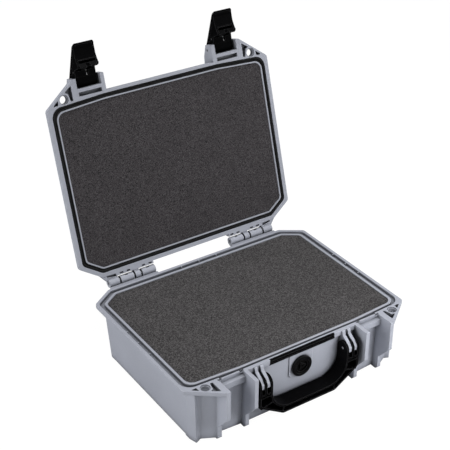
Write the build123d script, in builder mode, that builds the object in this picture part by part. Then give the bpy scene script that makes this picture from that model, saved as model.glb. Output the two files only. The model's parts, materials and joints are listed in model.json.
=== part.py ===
"""Hard-shell equipment case, open, with foam, latches, handle and pressure valve.

Units are millimetres. +X is the case's right-hand side, +Y its back, +Z up. The origin is the
middle of the flat bottom, on the surface that the case stands on. The lid and everything on it
are built in their closed place and then swung open about the hinge axis.
"""

import os

from build123d import *

os.makedirs("parts", exist_ok=True)

# ---- driving dimensions -------------------------------------------------------------------
RIM_Z = 98.0                # parting plane between base and lid, case closed
SIDE_X = 195.0              # rim flange, half the width
BACK_Y = 152.0              # rim flange, back edge
FRONT_Y = -152.0            # front ends of the latch guard ribs
WALL_FRONT_Y = -121.5       # outside of the front wall
FLANGE_FRONT_Y = -125.5     # rim flange, front edge between the latch bays
WALL = 3.5
BASE_FLANGE = 8.0
LID_FLANGE = 9.0
LID_HEIGHT = 42.0
SIDE_DRAFT = 6.0            # how far the side and back walls lean in over the base's height
BACK_CORNER = 9.0
FRONT_CORNER = 20.0         # at the rim's outer edge, less half of the inset further in

HINGE_Y, HINGE_Z = 164.8, 99.2
LID_ANGLE = 106.7           # opening angle, lid against its stop
HINGE_PIN_R = 2.5
KNUCKLE_R = 6.5
RUNNING = 0.05              # radial clearance of a pin in its hole
BASE_KNUCKLES = ((71.5, 95.0), (110.0, 132.5))
LID_KNUCKLES = ((98.0, 107.0), (135.5, 152.5))

BAY_X = 121.0               # middle of a latch bay
BAY_HALF = 20.0
RIB = 6.0
LATCH_Y, LATCH_Z = -143.5, 112.0
LATCH_PIN_R = 2.0
LATCH_HALF = 17.0

HANDLE_Y, HANDLE_Z = -135.0, 74.0
HANDLE_PIN_R = 2.0
HANDLE_HALF = 88.0
HANDLE_FRONT, HANDLE_BACK = -146.5, -123.5
EAR_R = 11.5

VALVE_Z = 64.0

SIDES = {"left": -1, "right": 1}


def mirrored(right):
    """Whole outline from its right-hand points, listed from the back to the front."""
    return right + [(-x, y) for x, y in reversed(right)]


def shell_points(inset, front):
    """Right-hand outline of the body, set in from the rim by inset, with its own front line."""
    side = SIDE_X - inset
    return [
        (160.0 - 0.305 * inset, BACK_Y - inset),
        (side, 128.5 - 0.533 * inset),
        (side, front + 5.0),
        (100.0, front),
    ]


def lug_points():
    """Right-hand outline of the rim flange with its corner lug."""
    return [
        (160.0, BACK_Y),
        (SIDE_X, 128.5),
        (SIDE_X, -115.5),
        (BAY_X + BAY_HALF + RIB, FRONT_Y),
        (BAY_X + BAY_HALF, FRONT_Y),
        (BAY_X + BAY_HALF, FLANGE_FRONT_Y + 3.0),
        (BAY_X - BAY_HALF, FLANGE_FRONT_Y + 3.0),
        (BAY_X - BAY_HALF, FLANGE_FRONT_Y),
    ]


def outline(points, corner=0.0):
    """Face of a closed outline, with its corners rounded when corner is given."""
    with BuildSketch(mode=Mode.PRIVATE) as flat:
        with BuildLine():
            Polyline(points, close=True)
        make_face()
        if corner:
            fillet(flat.vertices(), corner)
    return flat.sketch


def shell_face(inset, front):
    """Face of the body outline: cut corners at the back, large round ones at the front."""
    with BuildSketch(mode=Mode.PRIVATE) as flat:
        add(outline(mirrored(shell_points(inset, front))))
        fillet(flat.vertices().filter_by(lambda v: v.Y > 0), BACK_CORNER)
        sides = flat.vertices().filter_by(lambda v: v.Y < 0 and abs(v.X) > SIDE_X - inset - 1)
        fillet(sides, FRONT_CORNER - inset / 2)
    return flat.sketch


def rim_flange(low, height, rounded):
    """Rim flange with its corner lugs, its outer edge rounded at the end that rounded picks."""
    with BuildPart() as flange:
        with BuildSketch(Plane.XY.offset(low)):
            add(outline(mirrored(lug_points())))
        extrude(amount=height)
        corners = flange.edges().filter_by(Axis.Z).filter_by(lambda e: e.center().Y > -118)
        fillet(corners.filter_by(lambda e: abs(e.center().X) > 150), 7.0)
        edge = flange.edges().group_by(Axis.Z)[rounded].filter_by(lambda e: e.center().Y > -116)
        fillet(edge, 3.5)
    return flange.part


def swing_open(piece):
    """Turns a piece of the lid from its closed place to its open place."""
    return piece.rotate(Axis((0, HINGE_Y, HINGE_Z), (1, 0, 0)), -LID_ANGLE)


def write(piece, name):
    piece.label = name
    export_step(piece, f"parts/{name}.step")


# ---- base shell ---------------------------------------------------------------------------
LIP_INSET = 15.2            # inner edge of the rim's ridge, in from the rim's outer edge
CHANNEL_OUT, CHANNEL_IN = 4.6, 11.6     # edges of the channel, in from the rim's outer edge
CHANNEL_DEPTH = 4.6
CHANNEL_RIB, CHANNEL_RIB_LENGTH = 1.3, 3.6
BACK_RIBS_X = (-32.4, 0.0, 32.4)
SIDE_RIBS_Y = (-19.4, 12.0, 43.4)
SLOT_DEPTH = 6.4            # slot behind the lip of each latch bay
RING_Z = RIM_Z - BASE_FLANGE
RIB_LEG_Z = 49.0            # bottom of the ribs' long front edge
FOOT_Y, FOOT_Z = -131.0, 24.0
STRIKER_TOP, STRIKER_LOW, STRIKER_Y = 92.0, 82.6, -129.5
PADLOCK = (165.0, -126.0)   # centre of the padlock hole
PADLOCK_R = 6.0

rib_profile = [
    (-112.0, RIM_Z),
    (FRONT_Y, RIM_Z),
    (FRONT_Y, RIB_LEG_Z),
    (FOOT_Y, FOOT_Z),
    (FOOT_Y, 4.0),
    (FOOT_Y + 4.0, 0.0),
    (-112.0, 0.0),
]
post_top = [(164, -96), (184.5, -96), (184.5, -106), (178, -119.5), (171, -116.5)]
post_foot = [(160, -96), (178.5, -96), (178.5, -106), (175, -118.5), (168, -115.5)]
lug_column = [(164, -108), (178, -108), (175.5, -112.3), (147, -127), (143, -118)]
lug_hollow = [(163, -111), (170, -111), (148.5, -122.6), (148.5, -118.5)]
lug_pocket = [(150.5, -121.5), (154.5, -121.5), (157.5, -133.5), (162.5, -136), (150.5, -144)]
corner_pocket = [(174.5, -127.5), (184.5, -119.5), (175.5, -119.5)]
HANDLE_LUGS_X = (72.6, 82.2)
handle_lug = [
    (-119.0, 97.0),
    (-127.5, 97.0),
    (-129.5, 90.5),
    (-139.5, 83.5),
    (-145.0, 77.0),
    (-145.0, 70.0),
    (-139.5, 64.5),
    (-132.0, 64.5),
    (-126.5, 72.0),
    (-119.0, 80.0),
]

base_flange = rim_flange(RING_Z, BASE_FLANGE, 0)

with BuildPart() as base_shell:
    # drafted tub, rounded along its bottom edge
    with BuildSketch(Plane.XY):
        add(shell_face(10.5 + SIDE_DRAFT, WALL_FRONT_Y + 1.0))
    with BuildSketch(Plane.XY.offset(RING_Z + 1.0)):
        add(shell_face(10.5, WALL_FRONT_Y))
    loft(ruled=True)
    fillet(base_shell.faces().sort_by(Axis.Z)[0].edges(), 3.0)
    # rim flange, rounded underneath along the sides and the back
    add(base_flange)
    # latch guard ribs, corner posts and lug columns down the front
    for side in SIDES.values():
        for x in (BAY_X - BAY_HALF - RIB / 2, BAY_X + BAY_HALF + RIB / 2):
            with BuildSketch(Plane.YZ.offset(side * x)):
                add(outline(rib_profile))
            extrude(amount=RIB / 2, both=True)
        column = [(side * x, y) for x, y in lug_column]
        with BuildSketch(Plane.XY.offset(2.5)):
            add(outline(column))
        extrude(amount=RING_Z - 0.5)
        with BuildSketch(Plane.XY):
            add(outline([(side * x, y) for x, y in post_foot]))
        with BuildSketch(Plane.XY.offset(RING_Z + 1.0)):
            add(outline([(side * x, y) for x, y in post_top]))
        loft(ruled=True)
        # striker that the latch hooks under, across the bay
        with Locations((side * BAY_X, (STRIKER_Y - 118.0) / 2, (STRIKER_TOP + STRIKER_LOW) / 2)):
            Box(2 * BAY_HALF + 1, -118.0 - STRIKER_Y, STRIKER_TOP - STRIKER_LOW)
        # lugs that carry the handle
        for x in HANDLE_LUGS_X:
            with BuildSketch(Plane.YZ.offset(side * x)):
                add(outline(handle_lug, 2.0))
            extrude(amount=2.5, both=True)
    # faint pad around the valve
    with BuildSketch(Plane.XZ.offset(-WALL_FRONT_Y - 0.8)):
        add(outline([(-21, RING_Z), (-21, VALVE_Z - 17), (21, VALVE_Z - 17), (21, RING_Z)], 8.0))
    extrude(amount=2.0)
    # inside of the tub, then the smaller mouth inside the rim
    with BuildSketch(Plane.XY.offset(WALL)):
        add(shell_face(10.5 + SIDE_DRAFT + WALL, WALL_FRONT_Y + 1.0 + WALL))
    with BuildSketch(Plane.XY.offset(RING_Z)):
        add(shell_face(10.5 + WALL, WALL_FRONT_Y + WALL))
    loft(ruled=True, mode=Mode.SUBTRACT)
    with BuildSketch(Plane.XY.offset(RING_Z - 0.01)):
        add(shell_face(LIP_INSET, -112.8))
    extrude(amount=BASE_FLANGE + 1, mode=Mode.SUBTRACT)
    # channel between the rim's inner ridge and its outer flange, with small ribs on its outer wall
    with BuildSketch(Plane.XY.offset(RIM_Z - CHANNEL_DEPTH)):
        add(shell_face(CHANNEL_OUT, -120.2))
        add(shell_face(CHANNEL_IN, -116.4), mode=Mode.SUBTRACT)
    extrude(amount=10.0, mode=Mode.SUBTRACT)
    rib_inset = CHANNEL_OUT + CHANNEL_RIB_LENGTH / 2 - 0.5
    rib_z = RIM_Z - CHANNEL_DEPTH / 2 - 0.5
    with Locations(*[(x, BACK_Y - rib_inset, rib_z) for x in BACK_RIBS_X]):
        Box(CHANNEL_RIB, CHANNEL_RIB_LENGTH, CHANNEL_DEPTH)
    for x in (rib_inset - SIDE_X, SIDE_X - rib_inset):
        with Locations(*[(x, y, rib_z) for y in SIDE_RIBS_Y]):
            Box(CHANNEL_RIB_LENGTH, CHANNEL_RIB, CHANNEL_DEPTH)
    # padlock holes, stepped, the hollow lugs beside them, and the lip at the back of each bay
    for side in SIDES.values():
        with Locations((side * BAY_X, -118.6, RIM_Z - SLOT_DEPTH / 2 + 1.0)):
            Box(2 * BAY_HALF - 6.0, 3.2, SLOT_DEPTH + 2.0, mode=Mode.SUBTRACT)
        scoops = [(side * (BAY_X + end * (BAY_HALF - 2.0)), RIM_Z) for end in (-1, 1)]
        with BuildSketch(Plane.XZ.offset(120.2)):
            with Locations(*scoops):
                Circle(3.4)
        extrude(amount=3.5, mode=Mode.SUBTRACT)
        with BuildSketch(Plane.XY.offset(9.0)):
            add(outline([(side * x, y) for x, y in lug_hollow]))
        extrude(amount=RING_Z - 9.0 + 1.0, mode=Mode.SUBTRACT)
        for pocket in (lug_pocket, corner_pocket):
            with BuildSketch(Plane.XY.offset(RING_Z + 1.5)):
                add(outline([(side * x, y) for x, y in pocket], 0.8))
            extrude(amount=BASE_FLANGE, mode=Mode.SUBTRACT)
        with Locations((side * PADLOCK[0], PADLOCK[1], RIM_Z)):
            CounterBoreHole(PADLOCK_R, PADLOCK_R + 1.4, 2.0, depth=BASE_FLANGE + 1.0)
    # seat for the front strip, valve hole, handle pin holes
    with Locations((0, FLANGE_FRONT_Y, RIM_Z - 5.0)):
        Box(114.6, 6.0, 10.6, mode=Mode.SUBTRACT)
    with BuildSketch(Plane.XZ.offset(-WALL_FRONT_Y - 8.0)):
        with Locations((0, VALVE_Z)):
            Circle(11.1)
    extrude(amount=12.0, mode=Mode.SUBTRACT)
    with BuildSketch(Plane.YZ):
        with Locations((HANDLE_Y, HANDLE_Z)):
            Circle(HANDLE_PIN_R + RUNNING)
    extrude(amount=HANDLE_HALF + 2.0, both=True, mode=Mode.SUBTRACT)
    # hinge knuckles on webs behind the back wall, joined by a ledge
    for side in SIDES.values():
        with Locations((side * 112.0, 154.5, RIM_Z - 4.5)):
            Box(84.0, 6.0, 7.0)
        for inner, outer in BASE_KNUCKLES:
            with BuildSketch(Plane.YZ.offset(side * (inner + outer) / 2)):
                add(outline([(148, 88), (158, 88), (170, 94), (170, 99), (160, 97), (148, 92)]))
                with Locations((HINGE_Y, HINGE_Z)):
                    Circle(KNUCKLE_R)
            extrude(amount=(outer - inner) / 2, both=True)
            with Locations((side * (inner + outer) / 2, HINGE_Y, HINGE_Z + KNUCKLE_R)):
                Box(5.0, 3.4, 5.0, mode=Mode.SUBTRACT)
    with BuildSketch(Plane.YZ):
        with Locations((HINGE_Y, HINGE_Z)):
            Circle(HINGE_PIN_R + RUNNING)
    extrude(amount=160.0, both=True, mode=Mode.SUBTRACT)
write(base_shell.part, "base_shell")


# ---- lid shell ----------------------------------------------------------------------------
LID_TOP = RIM_Z + LID_HEIGHT
LID_RING_Z = RIM_Z + LID_FLANGE
GROOVE_DEPTH = 5.5
CROSS_WALL_Y = -136.5       # front of the wall that the latch barrel runs in front of

lid_rib_profile = [
    (-112.0, RIM_Z),
    (FRONT_Y, RIM_Z),
    (FRONT_Y, RIM_Z + 17.0),
    (-134.0, RIM_Z + 26.0),
    (-112.0, RIM_Z + 30.0),
]
hinge_gusset = [(148, 150), (164, 149), (154, 161.5), (148, 161.5)]
hinge_pocket = [(137.5, 152.5), (154, 151.5), (152.5, 154.5), (137.5, 156.8)]
lid_knuckle_web = [(150, 98.6), (158, 98.6), (163, 94.5), (170, 98), (167, 106), (150, 106)]

lid_flange = rim_flange(RIM_Z, LID_FLANGE, -1)

with BuildPart() as lid_shell:
    # shallow drafted tray, rounded around its top
    with BuildSketch(Plane.XY.offset(LID_RING_Z - 1.0)):
        add(shell_face(9.0, WALL_FRONT_Y + 1.0))
    with BuildSketch(Plane.XY.offset(LID_TOP)):
        add(shell_face(18.0, WALL_FRONT_Y + 8.5))
    loft(ruled=True)
    fillet(lid_shell.faces().sort_by(Axis.Z)[-1].edges(), 6.0)
    add(lid_flange)
    for side in SIDES.values():
        for x in (BAY_X - BAY_HALF - RIB / 2, BAY_X + BAY_HALF + RIB / 2):
            with BuildSketch(Plane.YZ.offset(side * x)):
                add(outline(lid_rib_profile))
            extrude(amount=RIB / 2, both=True)
        # floor of the latch mount between the ribs, and the wall behind the latch's barrel
        with Locations((side * BAY_X, -132.6, RIM_Z + 13.5)):
            Box(2 * BAY_HALF + 1, 2.6, 13.0)
        with Locations((side * BAY_X, (CROSS_WALL_Y - 118.0) / 2, RIM_Z + LID_FLANGE / 2)):
            Box(2 * BAY_HALF + 1, -118.0 - CROSS_WALL_Y, LID_FLANGE)
    # three moulded stiffening ribs across the roof
    for x in (-90.0, 0.0, 90.0):
        with Locations((x, 10.0, LID_TOP - 1.0)):
            Box(34.0, 190.0, 4.0)
    # inside of the tray
    with BuildSketch(Plane.XY.offset(RIM_Z - 0.01)):
        add(shell_face(15.0, -113.0))
    with BuildSketch(Plane.XY.offset(LID_TOP - WALL)):
        add(shell_face(21.5, -109.8))
    loft(ruled=True, mode=Mode.SUBTRACT)
    # groove for the seal
    with BuildSketch(Plane.XY.offset(RIM_Z - 0.01)):
        add(shell_face(6.5, WALL_FRONT_Y))
        add(shell_face(13.0, -115.0), mode=Mode.SUBTRACT)
    extrude(amount=GROOVE_DEPTH, mode=Mode.SUBTRACT)
    # padlock holes, pockets beside them, latch slots and pin holes
    for side in SIDES.values():
        for pocket in (lug_pocket, corner_pocket):
            with BuildSketch(Plane.XY.offset(RIM_Z - 0.01)):
                add(outline([(side * x, y) for x, y in pocket], 0.8))
            extrude(amount=LID_FLANGE - 1.5, mode=Mode.SUBTRACT)
        with BuildSketch(Plane.XY.offset(RIM_Z - 0.01)):
            with Locations((side * BAY_X, -128.2)):
                Rectangle(2 * BAY_HALF - 2.0, 6.0)
        extrude(amount=LID_FLANGE - 1.5, mode=Mode.SUBTRACT)
        with BuildSketch(Plane.XY.offset(RIM_Z - 0.01)):
            with Locations((side * PADLOCK[0], PADLOCK[1])):
                Circle(PADLOCK_R + 1.4)
        extrude(amount=2.0, mode=Mode.SUBTRACT)
        with BuildSketch(Plane.XY.offset(RIM_Z - 0.01)):
            with Locations((side * PADLOCK[0], PADLOCK[1])):
                Circle(PADLOCK_R)
        extrude(amount=LID_FLANGE + 1.0, mode=Mode.SUBTRACT)
    with BuildSketch(Plane.YZ):
        with Locations((LATCH_Y, LATCH_Z)):
            Circle(LATCH_PIN_R + RUNNING)
    extrude(amount=150.0, both=True, mode=Mode.SUBTRACT)
    # hinge knuckles, between and outside those of the base, on a plate with one pocket a side
    for side in SIDES.values():
        with Locations((side * 111.8, 153.7, RIM_Z + LID_FLANGE / 2)):
            Box(81.0, 5.4, LID_FLANGE)
        with BuildSketch(Plane.XY.offset(RIM_Z + 0.6)):
            add(outline([(side * x, y) for x, y in hinge_gusset]))
        extrude(amount=LID_FLANGE - 1.6)
        for inner, outer in LID_KNUCKLES:
            with BuildSketch(Plane.YZ.offset(side * (inner + outer) / 2)):
                add(outline(lid_knuckle_web))
                with Locations((HINGE_Y, HINGE_Z)):
                    Circle(KNUCKLE_R)
            extrude(amount=(outer - inner) / 2, both=True)
        with BuildSketch(Plane.XY.offset(RIM_Z - 0.01)):
            add(outline([(side * x, y) for x, y in hinge_pocket]))
        extrude(amount=5.2, mode=Mode.SUBTRACT)
        for x in (77.0, 89.0, 116.0, 128.0):
            with Locations((side * x, 153.8, RIM_Z + 2.0)):
                Box(6.0, 2.4, 4.2, mode=Mode.SUBTRACT)
    with BuildSketch(Plane.YZ):
        with Locations((HINGE_Y, HINGE_Z)):
            Circle(HINGE_PIN_R + RUNNING)
    extrude(amount=170.0, both=True, mode=Mode.SUBTRACT)
write(swing_open(lid_shell.part), "lid_shell")


# ---- lid seal -----------------------------------------------------------------------------
SEAL_FACE_Z = RIM_Z + 0.3   # just clear of the base's ridge with the lid closed
GROOVE_Z = RIM_Z + GROOVE_DEPTH - 0.01

with BuildPart() as lid_seal:
    with BuildSketch(Plane.XY.offset(SEAL_FACE_Z)):
        add(shell_face(6.6, WALL_FRONT_Y + 0.1))
        add(shell_face(12.9, -115.1), mode=Mode.SUBTRACT)
    extrude(amount=GROOVE_Z - SEAL_FACE_Z)
    # two beads either side of a shallow middle groove
    with BuildSketch(Plane.XY.offset(SEAL_FACE_Z)):
        add(shell_face(10.2, -117.8))
        add(shell_face(10.9, -117.1), mode=Mode.SUBTRACT)
    extrude(amount=0.8, mode=Mode.SUBTRACT)
write(swing_open(lid_seal.part), "lid_seal")


# ---- foam ---------------------------------------------------------------------------------
FOAM_TOP_Z = 97.0           # top of the base foam, just below the rim
FOAM_LAYERS = {"base_foam_bottom": (WALL, 15.5), "base_foam_middle": (15.5, 55.0),
               "base_foam_top": (55.0, FOAM_TOP_Z)}
FOAM_GAP = 0.5


def foam_inset(z):
    """Inset of the base foam's side at height z, following the drafted wall."""
    return 10.5 + WALL + SIDE_DRAFT * (1.0 - z / RING_Z) + 1.9


for name, (low, high) in FOAM_LAYERS.items():
    with BuildPart() as base_foam:
        with BuildSketch(Plane.XY.offset(low)):
            add(shell_face(foam_inset(low), -112.2))
        with BuildSketch(Plane.XY.offset(high)):
            add(shell_face(foam_inset(high), -112.2))
        loft(ruled=True)
    write(base_foam.part, name)

with BuildPart() as lid_foam:
    with BuildSketch(Plane.XY.offset(RIM_Z + 0.8)):
        add(shell_face(15.0 + FOAM_GAP, -113.0 + FOAM_GAP))
    with BuildSketch(Plane.XY.offset(LID_TOP - WALL)):
        add(shell_face(21.5 + FOAM_GAP, -109.8 + FOAM_GAP))
    loft(ruled=True)
write(swing_open(lid_foam.part), "lid_foam")


# ---- hinge pins ---------------------------------------------------------------------------
for name, side in SIDES.items():
    with BuildPart() as hinge_pin:
        with BuildSketch(Plane.YZ.offset(side * 112.0)):
            with Locations((HINGE_Y, HINGE_Z)):
                Circle(HINGE_PIN_R)
        extrude(amount=40.2, both=True)
        chamfer(hinge_pin.edges(), 0.4)
    write(hinge_pin.part, f"hinge_pin_{name}")


# ---- handle -------------------------------------------------------------------------------
HANDLE_WALL = 2.6
GRIP_LOW, GRIP_HIGH = 13.4, 25.5
BODY_TOP = 61.0             # where the arms divide into ears
CORNER_OUT, CORNER_IN = 46.5, 45.0
ARM_IN = 66.0
EARS = ((67.6, 3.2), (77.4, 3.8), (86.35, 3.3))     # middle and width of each ear

handle_outside = [(HANDLE_HALF, BODY_TOP), (HANDLE_HALF, 40.0), (CORNER_OUT, GRIP_LOW)]
hand_hole = [(ARM_IN, BODY_TOP + 40.0), (ARM_IN, GRIP_HIGH)]
handle_ribs = [
    ((CORNER_IN, GRIP_HIGH + 1.5), (CORNER_OUT, GRIP_LOW + 0.6)),
    ((ARM_IN - 3.0, 42.0), (HANDLE_HALF - 2.6, 36.0)),
    ((ARM_IN + 1.0, 54.0), (HANDLE_HALF - 1.0, 54.0)),
]

with BuildSketch() as handle_shape:
    add(outline(mirrored(handle_outside)))
    fillet(handle_shape.vertices().filter_by(lambda v: v.Y < BODY_TOP - 1), 9.0)
    add(outline(mirrored(hand_hole), 32.0), mode=Mode.SUBTRACT)

with BuildPart() as handle:
    with BuildSketch(Plane.XZ.offset(-HANDLE_BACK)):
        add(handle_shape.sketch)
    extrude(amount=HANDLE_BACK - HANDLE_FRONT)
    # channel, open to the front, with its cross ribs
    with BuildSketch(Plane.XZ.offset(-HANDLE_FRONT)) as channel:
        add(handle_shape.sketch)
        offset(amount=-HANDLE_WALL, kind=Kind.INTERSECTION)
    extrude(amount=-17.0, mode=Mode.SUBTRACT)
    for side in SIDES.values():
        for (x1, z1), (x2, z2) in handle_ribs:
            with BuildSketch(Plane.XZ.offset(-HANDLE_BACK)):
                with BuildLine():
                    Line((side * x1, z1), (side * x2, z2))
                trace(line_width=2.0)
            extrude(amount=HANDLE_BACK - HANDLE_FRONT - 0.8)
        # ears around the pivot
        for x, width in EARS:
            with BuildSketch(Plane.YZ.offset(side * x)):
                with Locations((HANDLE_Y, HANDLE_Z)):
                    Circle(EAR_R)
                with Locations((HANDLE_Y, (HANDLE_Z + BODY_TOP - 2) / 2)):
                    Rectangle(2 * EAR_R, HANDLE_Z - BODY_TOP + 2)
            extrude(amount=width / 2, both=True)
    with BuildSketch(Plane.YZ):
        with Locations((HANDLE_Y, HANDLE_Z)):
            Circle(HANDLE_PIN_R + RUNNING)
    extrude(amount=HANDLE_HALF + 2.0, both=True, mode=Mode.SUBTRACT)
write(handle.part, "handle")

for name, side in SIDES.items():
    with BuildPart() as handle_pin:
        with BuildSketch(Plane.YZ.offset(side * (ARM_IN + HANDLE_HALF) / 2)):
            with Locations((HANDLE_Y, HANDLE_Z)):
                Circle(HANDLE_PIN_R)
        extrude(amount=(HANDLE_HALF - ARM_IN) / 2 - 0.2, both=True)
    write(handle_pin.part, f"handle_pin_{name}")


# ---- strip on the front of the rim ----------------------------------------------------------
STRIP_BACK_Y = FLANGE_FRONT_Y + 3.0
strip_profile = [
    (STRIP_BACK_Y, 87.9),
    (STRIP_BACK_Y, 97.6),
    (-124.4, 97.6),
    (-126.0, 96.2),
    (-126.0, 95.2),
    (-124.4, 94.2),
    (-124.4, 93.4),
    (-126.3, 92.2),
    (-126.3, 90.0),
    (-124.6, 87.9),
]
with BuildPart() as front_strip:
    with BuildSketch(Plane.YZ):
        add(outline(strip_profile))
    extrude(amount=57.0, both=True)
write(front_strip.part, "front_strip")


# ---- pressure valve -----------------------------------------------------------------------
VALVE_FACE_Y = WALL_FRONT_Y - 1.2       # front of the valve's pad
valve_axis = Plane((0, VALVE_FACE_Y, VALVE_Z), x_dir=(1, 0, 0), z_dir=(0, -1, 0))

with BuildPart() as valve_seal:
    with BuildSketch(valve_axis):
        Circle(15.0)
        Circle(11.6, mode=Mode.SUBTRACT)
    extrude(amount=1.0)
write(valve_seal.part, "valve_seal")

with BuildPart() as valve_body:
    with BuildSketch(valve_axis.offset(1.0)):
        Circle(17.0)
    extrude(amount=3.6)
    fillet(valve_body.edges().group_by(Axis.Y)[0], 1.4)
    with BuildSketch(valve_axis.offset(1.0)):
        Circle(11.0)
    extrude(amount=-9.8)
    # stepped recess for the vent core, and the breathing hole through the stem
    with BuildSketch(valve_axis.offset(4.6)):
        Circle(12.6)
    extrude(amount=-1.6, mode=Mode.SUBTRACT)
    with BuildSketch(valve_axis.offset(3.2)):
        Circle(9.4)
    extrude(amount=-4.2, mode=Mode.SUBTRACT)
    with BuildSketch(valve_axis):
        Circle(4.0)
    extrude(amount=-14.0, mode=Mode.SUBTRACT)
write(valve_body.part, "valve_body")

with BuildPart() as valve_core:
    with BuildSketch(valve_axis.offset(-0.5)):
        Circle(9.2)
    extrude(amount=1.4)
    # three-cornered boss with a round socket
    with BuildSketch(valve_axis.offset(0.9)) as boss:
        RegularPolygon(7.6, 3)
        fillet(boss.vertices(), 1.2)
    extrude(amount=2.4)
    with BuildSketch(valve_axis.offset(3.3)):
        Circle(2.2)
    extrude(amount=-2.0, mode=Mode.SUBTRACT)
write(valve_core.part, "valve_core")

with BuildPart() as valve_nut:
    with BuildSketch(Plane.XZ.offset(-WALL_FRONT_Y - WALL - 1.1)):
        with Locations((0, VALVE_Z)):
            RegularPolygon(15.0, 6)
            Circle(11.05, mode=Mode.SUBTRACT)
    extrude(amount=-2.4)
write(valve_nut.part, "valve_nut")


# ---- latches ------------------------------------------------------------------------------
# Each latch is drawn open, as (y, z) points from its own pivot: the outer skin faces up and
# back, the hook faces down. It closes by turning about its pivot pin.
CHEEK = 3.0
CATCH_HALF = LATCH_HALF - CHEEK - 0.3
CATCH_PIN = (-16.1, -2.65)
CATCH_PIN_R = 1.5
BARREL_R = 8.0

lever_side = [
    (-6.2, 16.0),
    (1.5, 12.5),
    (7.0, 3.5),
    (0.0, -7.6),
    (-19.5, -8.6),
    (-22.0, -19.0),
    (-22.6, -22.4),
    (-26.0, -24.6),
    (-31.0, -21.8),
    (-40.0, -19.2),
    (-50.0, -19.0),
    (-60.5, -22.0),
    (-57.2, -16.0),
]
catch_side = [
    (-22.3, -25.7),
    (-23.9, -26.0),
    (-29.0, -22.0),
    (-29.0, -15.0),
    (-24.0, -8.0),
    (-22.0, -3.0),
    (-25.8, -1.6),
    (-12.8, 6.8),
    (-11.2, 3.0),
    (-12.0, -4.0),
    (-18.5, -6.2),
    (-24.1, -20.4),
]
# room for the catch under the lever's skin, its end walls close to the catch's travel
catch_room = [
    (-8.4, 12.0),
    (-27.6, 0.0),
    (-27.6, -2.0),
    (-33.0, -10.0),
    (-33.0, -30.0),
    (-8.4, -30.0),
]
# button of the catch, in a window through the skin
BUTTON_HALF = 7.5
catch_button = [(-14.7, 3.0), (-14.7, 9.6), (-25.3, 3.0), (-25.3, -2.0)]
WINDOW = (-26.0, -12.5)
neck_plate = [(-7.5, -6.4), (-7.5, -7.9), (-17.4, -8.5), (-17.4, -7.2)]
cheek_cells = [
    [(-12.0, 9.5), (-21.0, 3.8), (-21.0, -2.5), (-12.0, 2.0)],
    [(-23.0, 2.5), (-32.0, -3.1), (-32.0, -8.5), (-23.0, -3.5)],
    [(-34.0, -4.4), (-43.0, -10.0), (-43.0, -13.5), (-34.0, -9.5)],
]


def at_latch(points):
    return [(y + LATCH_Y, z + LATCH_Z) for y, z in points]


catch_y, catch_z = at_latch([CATCH_PIN])[0]

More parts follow.
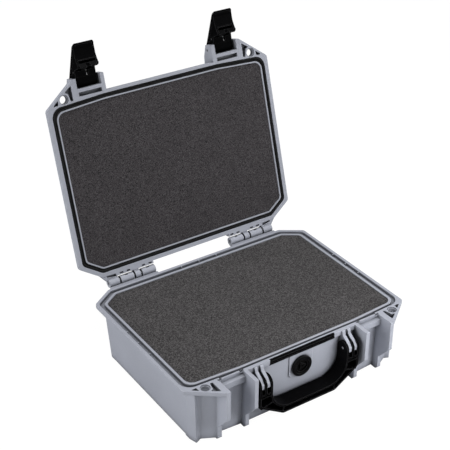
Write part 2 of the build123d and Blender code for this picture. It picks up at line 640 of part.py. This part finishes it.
for name, side in SIDES.items():
    middle = Plane.YZ.offset(side * BAY_X)

    with BuildPart() as latch_lever:
        with BuildSketch(middle):
            add(outline(at_latch(lever_side)))
            with Locations((LATCH_Y, LATCH_Z)):
                Circle(BARREL_R)
        extrude(amount=LATCH_HALF, both=True)
        corners = latch_lever.edges().filter_by(lambda e: e.center().Y < LATCH_Y - 58 and e.length < 10)
        fillet(corners, 3.0)
        tip = latch_lever.edges().filter_by(Axis.X).filter_by(lambda e: e.center().Y < LATCH_Y - 50)
        fillet(tip, 1.2)
        with BuildSketch(middle):
            add(outline(at_latch(catch_room)))
        extrude(amount=LATCH_HALF - CHEEK, both=True, mode=Mode.SUBTRACT)
        with Locations((side * BAY_X, LATCH_Y + sum(WINDOW) / 2, LATCH_Z + 10.0)):
            Box(2 * BUTTON_HALF + 1.0, WINDOW[1] - WINDOW[0], 30.0, mode=Mode.SUBTRACT)
        # plate between the cheeks in front of the catch, slotted for the spring's leg
        with BuildSketch(middle):
            add(outline(at_latch(neck_plate)))
        extrude(amount=LATCH_HALF - 1.0, both=True)
        with Locations((side * BAY_X + 3.0, LATCH_Y - 13.0, LATCH_Z - 7.5)):
            Box(4.0, 9.2, 6.0, mode=Mode.SUBTRACT)
        # sunk face of the head, and the moulding cells in both cheeks
        with BuildSketch(Plane.XY.offset(LATCH_Z - 26.0)):
            with Locations((side * BAY_X, LATCH_Y - 45.5)):
                Rectangle(2 * LATCH_HALF - 2 * CHEEK - 1.0, 22.0)
        extrude(amount=6.0, mode=Mode.SUBTRACT)
        for cell in cheek_cells:
            for face_x in (-LATCH_HALF, LATCH_HALF):
                with BuildSketch(Plane.YZ.offset(side * BAY_X + face_x)):
                    add(outline(at_latch(cell)))
                extrude(amount=1.6, both=True, mode=Mode.SUBTRACT)
        for y, z, radius in ((LATCH_Y, LATCH_Z, LATCH_PIN_R), (catch_y, catch_z, CATCH_PIN_R)):
            with BuildSketch(middle):
                with Locations((y, z)):
                    Circle(radius + RUNNING)
            extrude(amount=LATCH_HALF + 1.0, both=True, mode=Mode.SUBTRACT)
    write(swing_open(latch_lever.part), f"latch_lever_{name}")

    with BuildPart() as latch_catch:
        with BuildSketch(middle):
            add(outline(at_latch(catch_side)))
            with Locations((catch_y, catch_z)):
                Circle(3.3)
        extrude(amount=CATCH_HALF, both=True)
        with BuildSketch(middle):
            add(outline(at_latch(catch_button)))
        extrude(amount=BUTTON_HALF, both=True)
        # gap that parts the hook into two teeth, and the pocket for the spring
        with Locations((side * BAY_X, LATCH_Y - 24.0, LATCH_Z - 24.5)):
            Box(7.0, 14.0, 5.0, mode=Mode.SUBTRACT)
        with BuildSketch(middle):
            with Locations((catch_y, catch_z)):
                Circle(4.4)
            with Locations((catch_y + 4.0, catch_z - 4.4)):
                Rectangle(12.0, 7.0)
        extrude(amount=4.6, both=True, mode=Mode.SUBTRACT)
        with BuildSketch(middle):
            with Locations((catch_y, catch_z)):
                Circle(CATCH_PIN_R + RUNNING)
        extrude(amount=CATCH_HALF + 1.0, both=True, mode=Mode.SUBTRACT)
    write(swing_open(latch_catch.part), f"latch_catch_{name}")

    with BuildPart() as latch_pin:
        with BuildSketch(middle):
            with Locations((LATCH_Y, LATCH_Z)):
                Circle(LATCH_PIN_R)
        extrude(amount=BAY_HALF + RIB - 0.5, both=True)
    write(swing_open(latch_pin.part), f"latch_pin_{name}")

    with BuildPart() as catch_pin:
        with BuildSketch(middle):
            with Locations((catch_y, catch_z)):
                Circle(CATCH_PIN_R)
        extrude(amount=LATCH_HALF - 0.3, both=True)
    write(swing_open(catch_pin.part), f"catch_pin_{name}")

    # torsion spring: closed coils around the catch's pin and one leg along the neck
    with BuildPart() as latch_spring:
        for turn in range(4):
            with BuildSketch(Plane.YZ.offset(side * BAY_X - 3.2 + 1.7 * turn)):
                with Locations((catch_y, catch_z)):
                    Circle(3.4)
                    Circle(2.0, mode=Mode.SUBTRACT)
            extrude(amount=1.75)
        leg_start = Vector(side * BAY_X + 2.4, catch_y + 0.4, catch_z - 2.8)
        leg_end = Vector(side * BAY_X + 2.4, catch_y + 6.4, catch_z - 5.9)
        with BuildSketch(Plane(leg_start, z_dir=leg_end - leg_start)):
            Circle(0.7)
        extrude(amount=(leg_end - leg_start).length)
    write(swing_open(latch_spring.part), f"latch_spring_{name}")
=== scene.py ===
"""Looks of a hard-shell equipment case, open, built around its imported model.

Everything is in metres, in the row's frame: +X to the case's right, +Y to its back, +Z up.
"""

import json
import math

import bmesh
import bpy
from mathutils import Matrix, Vector, noise


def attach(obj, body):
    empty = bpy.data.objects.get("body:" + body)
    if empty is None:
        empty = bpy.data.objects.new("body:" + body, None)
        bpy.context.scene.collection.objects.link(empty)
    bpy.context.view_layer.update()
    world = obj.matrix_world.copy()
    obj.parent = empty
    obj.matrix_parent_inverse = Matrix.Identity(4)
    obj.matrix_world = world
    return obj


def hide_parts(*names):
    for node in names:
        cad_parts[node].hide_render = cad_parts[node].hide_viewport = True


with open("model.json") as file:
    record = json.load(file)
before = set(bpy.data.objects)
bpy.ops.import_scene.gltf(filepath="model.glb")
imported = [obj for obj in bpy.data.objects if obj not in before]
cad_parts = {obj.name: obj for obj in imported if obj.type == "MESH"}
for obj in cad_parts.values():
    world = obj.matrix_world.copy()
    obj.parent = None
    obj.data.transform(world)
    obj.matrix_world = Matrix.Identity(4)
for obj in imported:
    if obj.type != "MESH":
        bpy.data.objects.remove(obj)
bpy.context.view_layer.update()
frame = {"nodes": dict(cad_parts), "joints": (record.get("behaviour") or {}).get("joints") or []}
nodes = frame["nodes"]


# ---- base shell ---------------------------------------------------------------------------
# The lower half of the case: one injection moulding in grey structural plastic, with a fine
# spark-eroded grain outside, drafted walls, a stepped rim and guard ribs beside the latches.

# The second grey is a paler painted highlight for the edges.
GREY, GREY_EDGE_HIGHLIGHT = (0.322, 0.337, 0.388, 1.0), (0.46, 0.48, 0.545, 1.0)

# Scales count features for each metre.
CLOUD_SCALE, CLOUD_SHADE = 9.0, 0.93        # faint flow clouds, and how dark they go
HIGHLIGHT_PATCH_SCALE = 70.0                            # patches along the edges that carry a paler painted highlight
GLOSS_SCALE = 24.0                          # patches that shine a little more or less
SPECKLE_SCALE = 1300.0                      # fine specks of paler and darker pigment
GRAIN_SCALE, GRAIN_HEIGHT = 1500.0, 0.0002
SHADE_PAINT_REACH = 0.014                           # gaps narrower than this get painted shade in the colour
BEVEL_SAMPLES, GAP_SAMPLES = 6, 8


class Shader:
    """A node material under construction, with short calls for its nodes and links."""

    def __init__(self, name):
        self.material = bpy.data.materials.new(name)
        self.material.use_nodes = True
        self.tree = self.material.node_tree
        self.bsdf = self.tree.nodes["Principled BSDF"]
        self.coords = self.tree.nodes.new("ShaderNodeTexCoord").outputs["Object"]

    def feed(self, socket, value):
        """Links an input socket to another node's output, or sets it to a constant."""
        if isinstance(value, bpy.types.NodeSocket):
            self.tree.links.new(value, socket)
        else:
            socket.default_value = value

    def add(self, kind, **inputs):
        """New node; each keyword feeds the input of that name, with underscores for spaces."""
        node = self.tree.nodes.new(kind)
        for name, value in inputs.items():
            self.feed(node.inputs[name.replace("_", " ")], value)
        return node

    def surface(self, **inputs):
        """Feeds the shader's own inputs, and hands back the finished material."""
        for name, value in inputs.items():
            self.feed(self.bsdf.inputs[name.replace("_", " ")], value)
        return self.material

    def noise(self, scale, detail=2.0, rough=0.5):
        """Cloudy pattern, between 0 and 1, with its middle at a half."""
        return self.add("ShaderNodeTexNoise", Vector=self.coords, Scale=scale, Detail=detail,
                        Roughness=rough).outputs["Fac"]

    def spread(self, value, low, high, to_low=0.0, to_high=1.0):
        """Map range of a value, clamped at both ends."""
        return self.add("ShaderNodeMapRange", Value=value, From_Min=low, From_Max=high,
                        To_Min=to_low, To_Max=to_high).outputs["Result"]

    def combine(self, operation, first, second):
        """Result of a math operation on two values."""
        node = self.tree.nodes.new("ShaderNodeMath")
        node.operation = operation
        self.feed(node.inputs[0], first)
        self.feed(node.inputs[1], second)
        return node.outputs[0]

    def shaded(self, colour, factor):
        """A colour made darker or lighter by a factor."""
        node = self.tree.nodes.new("ShaderNodeVectorMath")
        node.operation = "SCALE"
        self.feed(node.inputs[0], colour)
        self.feed(node.inputs["Scale"], factor)
        return node.outputs[0]

    def blend(self, factor, first, second):
        """Mix of two colours by a factor."""
        node = self.tree.nodes.new("ShaderNodeMix")
        node.data_type = "RGBA"
        for index, value in ((0, factor), (6, first), (7, second)):
            self.feed(node.inputs[index], value)
        return node.outputs[2]

    def edges(self, radius):
        """How close a point is to an edge, from 0 on a flat to 1 on the edge, and the soft normal."""
        bevel = self.add("ShaderNodeBevel", Radius=radius)
        bevel.samples = BEVEL_SAMPLES
        flat = self.tree.nodes.new("ShaderNodeNewGeometry")
        dot = self.tree.nodes.new("ShaderNodeVectorMath")
        dot.operation = "DOT_PRODUCT"
        self.feed(dot.inputs[0], bevel.outputs["Normal"])
        self.feed(dot.inputs[1], flat.outputs["True Normal"])
        return self.spread(dot.outputs["Value"], 0.995, 0.80), bevel.outputs["Normal"]

    def openness(self, reach):
        """How open the surroundings of a point are, from 0 deep in a gap to 1 on open ground."""
        node = self.add("ShaderNodeAmbientOcclusion", Distance=reach)
        node.samples = GAP_SAMPLES
        return node.outputs["AO"]

    def bump(self, height, strength, distance, **normal):
        """Bent normal for a height pattern; a soft normal to start from is optional."""
        return self.add("ShaderNodeBump", Height=height, Strength=strength, Distance=distance,
                        **normal).outputs["Normal"]


def moulded_plastic(name, colour, edge_highlight_colour, roughness, grain, edge_radius, specular=0.5):
    """Injection-moulded plastic: fine grain, faint flow clouds, a paler painted highlight along the
    edges and painted shade in narrow gaps.
    """
    s = Shader(name)
    edge, soft_normal = s.edges(edge_radius)
    clouds = s.spread(s.noise(CLOUD_SCALE, 3.0), 0.35, 0.65)
    darker = tuple(channel * CLOUD_SHADE for channel in colour[:3]) + (1.0,)
    # Edges are painted paler in patches: a painted highlight.
    edge_highlight = s.combine("MULTIPLY", edge, s.spread(s.noise(HIGHLIGHT_PATCH_SCALE, 4.0), 0.3, 0.6, 0.35, 0.8))
    clouded_and_highlit = s.blend(edge_highlight, s.blend(clouds, darker, colour), edge_highlight_colour)
    speckle = s.spread(s.noise(SPECKLE_SCALE, 2.0, 0.7), 0.3, 0.7, 0.93, 1.06)
    # The colour is darkened in narrow gaps by how open the surroundings are: painted shade, on top of
    # the real pigment specks.
    specks_and_painted_shade = s.combine("MULTIPLY", speckle, s.spread(s.openness(SHADE_PAINT_REACH), 0.20, 0.85, 0.20, 1.0))
    gloss = s.spread(s.noise(GLOSS_SCALE, 3.0), 0.3, 0.7, roughness - 0.05, roughness + 0.06)
    normal = s.bump(s.noise(GRAIN_SCALE, 2.0, 0.6), grain, GRAIN_HEIGHT, Normal=soft_normal)
    return s.surface(Base_Color=s.shaded(clouded_and_highlit, specks_and_painted_shade), Roughness=gloss, Normal=normal, IOR=1.5,
                     Specular_IOR_Level=specular)


def finish_nodes(material, *names):
    """Gives CAD nodes their material."""
    for name in names:
        nodes[name].data.materials.clear()
        nodes[name].data.materials.append(material)


grey_plastic = moulded_plastic("grey_plastic", GREY, GREY_EDGE_HIGHLIGHT, 0.46, 0.25, 0.0012)
finish_nodes(grey_plastic, "base_shell")


# ---- foam in the base ---------------------------------------------------------------------
# Three layers of open-cell polyurethane foam, die-cut to the drafted inside of the tub and
# laid in loose: a thin bottom pad and two thick blocks. Only the top face of the last shows.

FOAM_LAYERS = (("bottom", 0.0035, 0.0155), ("middle", 0.0155, 0.055), ("top", 0.055, 0.097))
FOAM_FRONT = -0.1122
# The foam's side is TUB_INSET in from the rim at TUB_HEIGHT, and TUB_DRAFT further at the floor.
TUB_INSET, TUB_DRAFT, TUB_HEIGHT = 0.0159, 0.006, 0.090
SEED_STEP = 10.0            # apart in the pattern of unevenness, so that no two layers match

# Plan of the case at its rim.
RIM_SIDE, RIM_BACK = 0.195, 0.152
STRAIGHT_FRONT = 0.100      # half of the front's straight middle
FRONT_SLANT = 0.005         # how far the front falls back from there to its corners
CHAMFER_SIDE, CHAMFER_BACK = 0.1285, 0.160  # where the back corners' chamfers meet side and back
SIDE_SLIP, BACK_SLIP = 0.533, 0.305         # how far those points slide for each metre of inset
FRONT_RADIUS, BACK_RADIUS = 0.020, 0.009
ARC_STEPS = 6

FOAM_CELL = 0.004           # size of the mesh cells that carry the unevenness of a cut face
FOAM_EDGE = 0.0016          # radius that a die-cut edge relaxes to
FOAM_EDGE_STEPS = 3
SHARP = 1.0                 # radians between the faces of a cut edge, at least
SLIVER = 2e-5               # shortest mesh edge that is kept
DIP, DIP_SCALE = 0.0005, 14.0               # slow waves of the cut face
FUZZ, FUZZ_SCALE = 0.00018, 90.0            # quick ones

FOAM_CELLS = 900.0          # visible cells per metre
PATCH_SCALE = 16.0
PORE_DEPTH = 0.0006


def open_cell_foam(name, dark, light, cells_per_metre):
    """Charcoal foam: packed cells, each pore painted dark as painted shade and each cell's struts
    painted paler by its own random amount as painted glints.
    """
    s = Shader(name)
    cells = s.add("ShaderNodeTexVoronoi", Vector=s.coords, Scale=cells_per_metre, Randomness=1.0)
    # Pore centres are painted dark as painted shade in the hollows; the struts are painted paler as
    # painted glints, each cell to its own level.
    pore = s.spread(cells.outputs["Distance"], 0.10, 0.62, 0.2, 1.0)
    chance = s.add("ShaderNodeSeparateColor", Color=cells.outputs["Color"])
    struts = s.combine("MULTIPLY", pore, chance.outputs["Red"])
    patches = s.spread(s.noise(PATCH_SCALE, 3.0), 0.3, 0.7, 0.93, 1.06)
    return s.surface(Base_Color=s.shaded(s.blend(struts, dark, light), patches), Roughness=1.0,
                     Normal=s.bump(struts, 0.5, PORE_DEPTH), Sheen_Weight=0.05,
                     Sheen_Roughness=0.6, Specular_IOR_Level=0.12)


foam_grey = open_cell_foam("foam_grey", (0.006, 0.0057, 0.0059, 1.0), (0.116, 0.110, 0.112, 1.0),
                           FOAM_CELLS)


def body_outline(inset, front):
    """Anticlockwise (x, y) points of the case's plan, set in from the rim, with its own front line."""
    side = RIM_SIDE - inset
    right = [(STRAIGHT_FRONT, front, 0.0),
             (side, front + FRONT_SLANT, FRONT_RADIUS - inset / 2.0),
             (side, CHAMFER_SIDE - SIDE_SLIP * inset, BACK_RADIUS),
             (CHAMFER_BACK - BACK_SLIP * inset, RIM_BACK - inset, BACK_RADIUS)]
    corners = right + [(-x, y, radius) for x, y, radius in reversed(right)]
    points = []
    for k, (x, y, radius) in enumerate(corners):
        here = Vector((x, y))
        if not radius:
            points.append((x, y))
            continue
        before = (Vector(corners[k - 1][:2]) - here).normalized()
        after = (Vector(corners[(k + 1) % len(corners)][:2]) - here).normalized()
        half = before.angle(after) / 2.0
        middle = here + (before + after).normalized() * radius / math.sin(half)
        start = here + before * radius / math.tan(half) - middle
        turn = math.pi - 2.0 * half
        for step in range(ARC_STEPS + 1):
            points.append(tuple(middle + Matrix.Rotation(turn * step / ARC_STEPS, 2) @ start))
    return points


def cut_to_outline(bm, corners):
    """Trims a flat grid to a closed convex outline of (x, y) corners, listed anticlockwise."""
    for (x1, y1), (x2, y2) in zip(corners, corners[1:] + corners[:1]):
        outward = Vector((y2 - y1, x1 - x2, 0.0))
        everything = bm.verts[:] + bm.edges[:] + bm.faces[:]
        bmesh.ops.bisect_plane(bm, geom=everything, plane_co=(x1, y1, 0.0), plane_no=outward,
                               dist=1e-6, clear_outer=True)


def add_piece(bm, name, material):
    """Turns a finished mesh into a smooth object of that name and material."""
    mesh = bpy.data.meshes.new(name)
    bm.to_mesh(mesh)
    bm.free()
    for polygon in mesh.polygons:
        polygon.use_smooth = True
    mesh.materials.append(material)
    piece = bpy.data.objects.new(name, mesh)
    bpy.context.scene.collection.objects.link(piece)
    return piece


def foam_block(name, material, top_outline, low_outline, low, high, seed, place=Matrix()):
    """A foam block with a slightly uneven cut top, relaxed edges and plain die-cut sides."""
    half_width = max(x for x, y in top_outline)
    front, back = min(y for x, y in top_outline), max(y for x, y in top_outline)
    low_front, low_back = min(y for x, y in low_outline), max(y for x, y in low_outline)
    narrower = max(x for x, y in low_outline) / half_width
    bm = bmesh.new()
    bmesh.ops.create_grid(bm, x_segments=round(2.0 * half_width / FOAM_CELL),
                          y_segments=round((back - front) / FOAM_CELL), size=0.5,
                          matrix=Matrix.Translation((0.0, (front + back) / 2.0, 0.0))
                          @ Matrix.Diagonal((2.0 * half_width, back - front, 1.0, 1.0)))
    cut_to_outline(bm, top_outline)
    bmesh.ops.dissolve_degenerate(bm, dist=SLIVER, edges=bm.edges[:])
    grown = bmesh.ops.extrude_face_region(bm, geom=bm.faces[:])
    raised = {g for g in grown["geom"] if isinstance(g, bmesh.types.BMVert)}
    for v in bm.verts:
        if v in raised:
            v.co.z = high
        else:
            share = (v.co.y - front) / (back - front)
            v.co = (v.co.x * narrower, low_front + share * (low_back - low_front), low)
    rim = [e for e in bm.edges if len(e.link_faces) == 2 and e.calc_face_angle() > SHARP
           and min(v.co.z for v in e.verts) > high - SLIVER / 2.0]
    bmesh.ops.bevel(bm, geom=rim, offset=FOAM_EDGE, segments=FOAM_EDGE_STEPS, affect="EDGES",
                    profile=0.5, material=-1, clamp_overlap=True)
    for v in bm.verts:
        if v.co.z > high - SLIVER / 2.0:
            slow = noise.noise(Vector((v.co.x * DIP_SCALE, v.co.y * DIP_SCALE, seed)))
            quick = noise.noise(Vector((v.co.x * FUZZ_SCALE, v.co.y * FUZZ_SCALE, seed)))
            v.co.z += DIP * slow + FUZZ * quick - DIP
    bmesh.ops.transform(bm, matrix=place, verts=bm.verts[:])
    bmesh.ops.recalc_face_normals(bm, faces=bm.faces[:])
    piece = add_piece(bm, name, material)
    return piece


for seed, (layer, low, high) in enumerate(FOAM_LAYERS):
    low_inset, high_inset = (TUB_INSET + TUB_DRAFT * (1.0 - z / TUB_HEIGHT) for z in (low, high))
    pad = foam_block(f"foam_{layer}_layer", foam_grey, body_outline(high_inset, FOAM_FRONT),
                     body_outline(low_inset, FOAM_FRONT), low, high, seed * SEED_STEP)
    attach(pad, "base")
    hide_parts(f"base_foam_{layer}")


# ---- pressure valve -----------------------------------------------------------------------
# Turned-looking moulding in smooth black plastic, screwed through the front wall with a nut
# inside and a rubber washer under its head; a three-cornered core lets air through.

# The second black is a paler painted highlight for the edges.
VALVE_BLACK, VALVE_EDGE_HIGHLIGHT = (0.0035, 0.0035, 0.0038, 1.0), (0.05, 0.05, 0.053, 1.0)
valve_plastic = moulded_plastic("valve_plastic", VALVE_BLACK, VALVE_EDGE_HIGHLIGHT, 0.32, 0.12, 0.0006,
                                specular=0.22)
finish_nodes(valve_plastic, "valve_body", "valve_core", "valve_nut")


BLOOM_SCALE, RUBBER_GLOSS_SCALE = 60.0, 35.0
SKIN_SCALE, SKIN_HEIGHT = 900.0, 0.0002


def soft_rubber(name):
    """Black moulded rubber: faint bloom, very fine skin, a broad dull sheen."""
    s = Shader(name)
    bloom = s.spread(s.noise(BLOOM_SCALE, 4.0, 0.6), 0.35, 0.75)
    colour = s.blend(bloom, (0.003, 0.003, 0.003, 1.0), (0.009, 0.009, 0.0095, 1.0))
    rough = s.spread(s.noise(RUBBER_GLOSS_SCALE, 3.0), 0.3, 0.7, 0.42, 0.60)
    skin = s.bump(s.noise(SKIN_SCALE), 0.1, SKIN_HEIGHT)
    return s.surface(Base_Color=colour, Roughness=rough, Normal=skin, Specular_IOR_Level=0.25)


rubber = soft_rubber("seal_rubber")
finish_nodes(rubber, "valve_seal")


# ---- front strip --------------------------------------------------------------------------
# A black moulded strip with one groove, snapped into a seat along the front of the rim.

# The second black is a paler painted highlight for the edges.
BLACK, BLACK_EDGE_HIGHLIGHT = (0.0022, 0.0022, 0.0025, 1.0), (0.075, 0.075, 0.080, 1.0)
black_plastic = moulded_plastic("black_plastic", BLACK, BLACK_EDGE_HIGHLIGHT, 0.36, 0.20, 0.0009, specular=0.02)
finish_nodes(black_plastic, "front_strip")


# ---- hinge pins ---------------------------------------------------------------------------
# Two drawn stainless rods pushed through the knuckles of both halves.

STEEL_DARK, STEEL_LIGHT = (0.42, 0.42, 0.43, 1.0), (0.62, 0.62, 0.63, 1.0)
LINES_ALONG, LINES_ACROSS = 4.0, 900.0
LINE_DEPTH = 0.0001


def drawn_steel(name):
    """Stainless wire, with fine draw lines along its length."""
    s = Shader(name)
    along = s.add("ShaderNodeMapping", Vector=s.coords,
                  Scale=(LINES_ALONG, LINES_ACROSS, LINES_ACROSS)).outputs["Vector"]
    lines = s.add("ShaderNodeTexNoise", Vector=along, Scale=1.0, Detail=3.0).outputs["Fac"]
    colour = s.blend(s.spread(lines, 0.35, 0.65), STEEL_DARK, STEEL_LIGHT)
    return s.surface(Base_Color=colour, Metallic=1.0, Roughness=s.spread(lines, 0.3, 0.7, 0.22, 0.38),
                     Normal=s.bump(lines, 0.08, LINE_DEPTH))


steel = drawn_steel("drawn_steel")
finish_nodes(steel, "hinge_pin_left", "hinge_pin_right")


# ---- lid shell ----------------------------------------------------------------------------
# The upper half: a shallow moulding in the same grey plastic, with a groove for the seal.

finish_nodes(grey_plastic, "lid_shell")


# ---- lid seal -----------------------------------------------------------------------------
# Extruded rubber ring pressed into the lid's groove: a fat bead along the outside, a thinner
# one along the inside and a narrow valley between them.

lid_hinge = next(joint for joint in frame["joints"] if joint["name"] == "lid_hinge")
HINGE = Vector(lid_hinge["pos_m"])
OPEN_ANGLE = math.radians(lid_hinge["range_deg"][1])
open_lid = (Matrix.Translation(HINGE) @ Matrix.Rotation(-OPEN_ANGLE, 4, "X")
            @ Matrix.Translation(-HINGE))

# Heights are those of the closed lid.
SEAL_BACK = 0.1034                          # bottom of the groove
SEAL_OUTER, SEAL_INNER = 0.00665, 0.01285   # insets from the rim
FAT_BEAD, THIN_BEAD = 0.0037, 0.0020        # widths
FAT_CROWN, THIN_CROWN = 0.09835, 0.0985     # heights of the beads' tops
BEAD_HEIGHT, BEAD_STEPS = 0.0012, 8
RIM_FRONT = -0.128                          # front of the lid's plan, before any inset

seal_profile = [(SEAL_OUTER, SEAL_BACK)]
for start, width, crown in ((SEAL_OUTER, FAT_BEAD, FAT_CROWN),
                            (SEAL_INNER - THIN_BEAD, THIN_BEAD, THIN_CROWN)):
    for step in range(BEAD_STEPS + 1):
        angle = math.pi * step / BEAD_STEPS
        seal_profile.append((start + width * (1.0 - math.cos(angle)) / 2.0,
                             crown + BEAD_HEIGHT * (1.0 - math.sin(angle))))
seal_profile.append((SEAL_INNER, SEAL_BACK))

bm = bmesh.new()
rings = []
for inset, height in seal_profile:
    loop = body_outline(inset, inset + RIM_FRONT)
    rings.append([bm.verts.new(open_lid @ Vector((x, y, height))) for x, y in loop])
for first, second in zip(rings, rings[1:] + rings[:1]):
    for k in range(len(first)):
        bm.faces.new((first[k - 1], first[k], second[k], second[k - 1]))
bmesh.ops.recalc_face_normals(bm, faces=bm.faces[:])
seal = add_piece(bm, "seal_ring", rubber)
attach(seal, "lid")
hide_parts("lid_seal")


# ---- foam in the lid ----------------------------------------------------------------------
# One block of a slightly finer and darker foam, pushed into the lid's tray with its cut face
# nearly level with the rim.

LID_FOAM_CELLS = 1200.0
lid_foam_grey = open_cell_foam("foam_grey_in_lid", (0.005, 0.0047, 0.0050, 1.0),
                               (0.098, 0.090, 0.096, 1.0), LID_FOAM_CELLS)

LID_FOAM_FACE, LID_FOAM_BACK = 0.0988, 0.1365       # heights of the closed lid
LID_FACE_OUTLINE = body_outline(0.0155, -0.1125)
LID_BACK_OUTLINE = body_outline(0.0220, -0.1093)
LID_SEED = 40.0             # its own place in the pattern of unevenness
upside_down = Matrix.Diagonal((1.0, 1.0, -1.0, 1.0))
lid_pad = foam_block("foam_in_lid", lid_foam_grey, LID_FACE_OUTLINE, LID_BACK_OUTLINE,
                     -LID_FOAM_BACK, -LID_FOAM_FACE, LID_SEED, open_lid @ upside_down)
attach(lid_pad, "lid")
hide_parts("lid_foam")


# ---- carry handle -------------------------------------------------------------------------
# Black glass-filled moulding, hollow on its front, which swings on two steel pins.

finish_nodes(black_plastic, "handle")
finish_nodes(steel, "handle_pin_left", "handle_pin_right")


# ---- latches ------------------------------------------------------------------------------
# Two-piece over-centre latches: a hollow lever on the lid, and inside it a sprung catch.

for side in ("left", "right"):
    finish_nodes(black_plastic, f"latch_lever_{side}", f"latch_catch_{side}")
    finish_nodes(steel, f"latch_pin_{side}", f"catch_pin_{side}", f"latch_spring_{side}")


# ---- floor --------------------------------------------------------------------------------
# A plain pale floor that reads as white and keeps a faint shadow of the case.

FLOOR_HALF = 6.0
FLOOR_DROP = 0.0002         # just under the case
CARD, CARD_HIDDEN = (0.78, 0.78, 0.78, 1.0), (0.05, 0.05, 0.05, 1.0)
CARD_GLOW = 0.975


def pale_floor():
    """Card that lights the case as white, looks white to the camera and is dark in reflections."""
    s = Shader("pale_floor")
    rays = s.tree.nodes.new("ShaderNodeLightPath").outputs
    unlit = s.combine("MAXIMUM", rays["Is Camera Ray"], rays["Is Glossy Ray"])
    glow = s.spread(rays["Is Camera Ray"], 0.0, 1.0, 0.0, CARD_GLOW)
    return s.surface(Base_Color=s.blend(unlit, CARD, CARD_HIDDEN), Roughness=0.9,
                     Specular_IOR_Level=0.0, Emission_Color=(1.0, 1.0, 1.0, 1.0),
                     Emission_Strength=glow)


bm = bmesh.new()
bmesh.ops.create_grid(bm, x_segments=1, y_segments=1, size=FLOOR_HALF,
                      matrix=Matrix.Translation((0.0, 0.0, -FLOOR_DROP)))
floor = add_piece(bm, "floor", pale_floor())


# ---- light --------------------------------------------------------------------------------
# A bright tent: even white surroundings, a large soft lamp on the left for the side walls, one
# above, a weak one on the right, and a small near one that brightens the front towards the right.

ROOM_LIGHT = 0.29           # strength of the surroundings, which the camera sees at full white
world = bpy.data.worlds.new("tent")
bpy.context.scene.world = world
world.use_nodes = True
surroundings = world.node_tree
background = surroundings.nodes["Background"]
path = surroundings.nodes.new("ShaderNodeLightPath")
level = surroundings.nodes.new("ShaderNodeMapRange")
level.inputs["To Min"].default_value = ROOM_LIGHT
level.inputs["To Max"].default_value = 1.0
surroundings.links.new(path.outputs["Is Camera Ray"], level.inputs["Value"])
surroundings.links.new(level.outputs["Result"], background.inputs["Strength"])
background.inputs["Color"].default_value = (1.0, 1.0, 1.0, 1.0)

LAMPS = (
    # name, place, size, power, seen in reflections
    ("lamp_left", (-2.1, 0.1, 0.8), 1.6, 34.0, True),
    ("lamp_top", (0.3, 0.2, 2.2), 1.2, 27.0, True),
    ("lamp_right", (2.1, -1.0, 0.6), 1.5, 14.0, True),
    ("lamp_near", (0.20, -0.50, 0.30), 0.3, 2.1, False),
)
AIM = Vector((0.0, 0.05, 0.15))
for name, place, size, power, reflected in LAMPS:
    lamp = bpy.data.lights.new(name, "AREA")
    lamp.shape = "SQUARE"
    lamp.size = size
    lamp.energy = power
    lamp_object = bpy.data.objects.new(name, lamp)
    lamp_object.location = place
    lamp_object.rotation_euler = (AIM - Vector(place)).to_track_quat("-Z", "Y").to_euler()
    lamp_object.visible_glossy = reflected
    bpy.context.scene.collection.objects.link(lamp_object)


# ---- camera -------------------------------------------------------------------------------
# Looks down on the open case from its front left.

CAMERA_PLACE = (-0.8094, -1.1288, 1.0622)
CAMERA_YAW, CAMERA_PITCH, CAMERA_ROLL = math.radians(33.967), math.radians(30.772), math.radians(0.222)

camera = bpy.data.cameras.new("camera")
camera.sensor_width = 36.0
camera.lens = 90.386
camera.clip_end = 50.0
camera_object = bpy.data.objects.new("camera", camera)
camera_object.matrix_world = (
    Matrix.Translation(CAMERA_PLACE)
    @ Matrix.Rotation(-CAMERA_YAW, 4, "Z")
    @ Matrix.Rotation(math.pi / 2 - CAMERA_PITCH, 4, "X")
    @ Matrix.Rotation(CAMERA_ROLL, 4, "Z")
)
bpy.context.scene.collection.objects.link(camera_object)
bpy.context.scene.camera = camera_object
bpy.context.scene.view_settings.view_transform = "Standard"
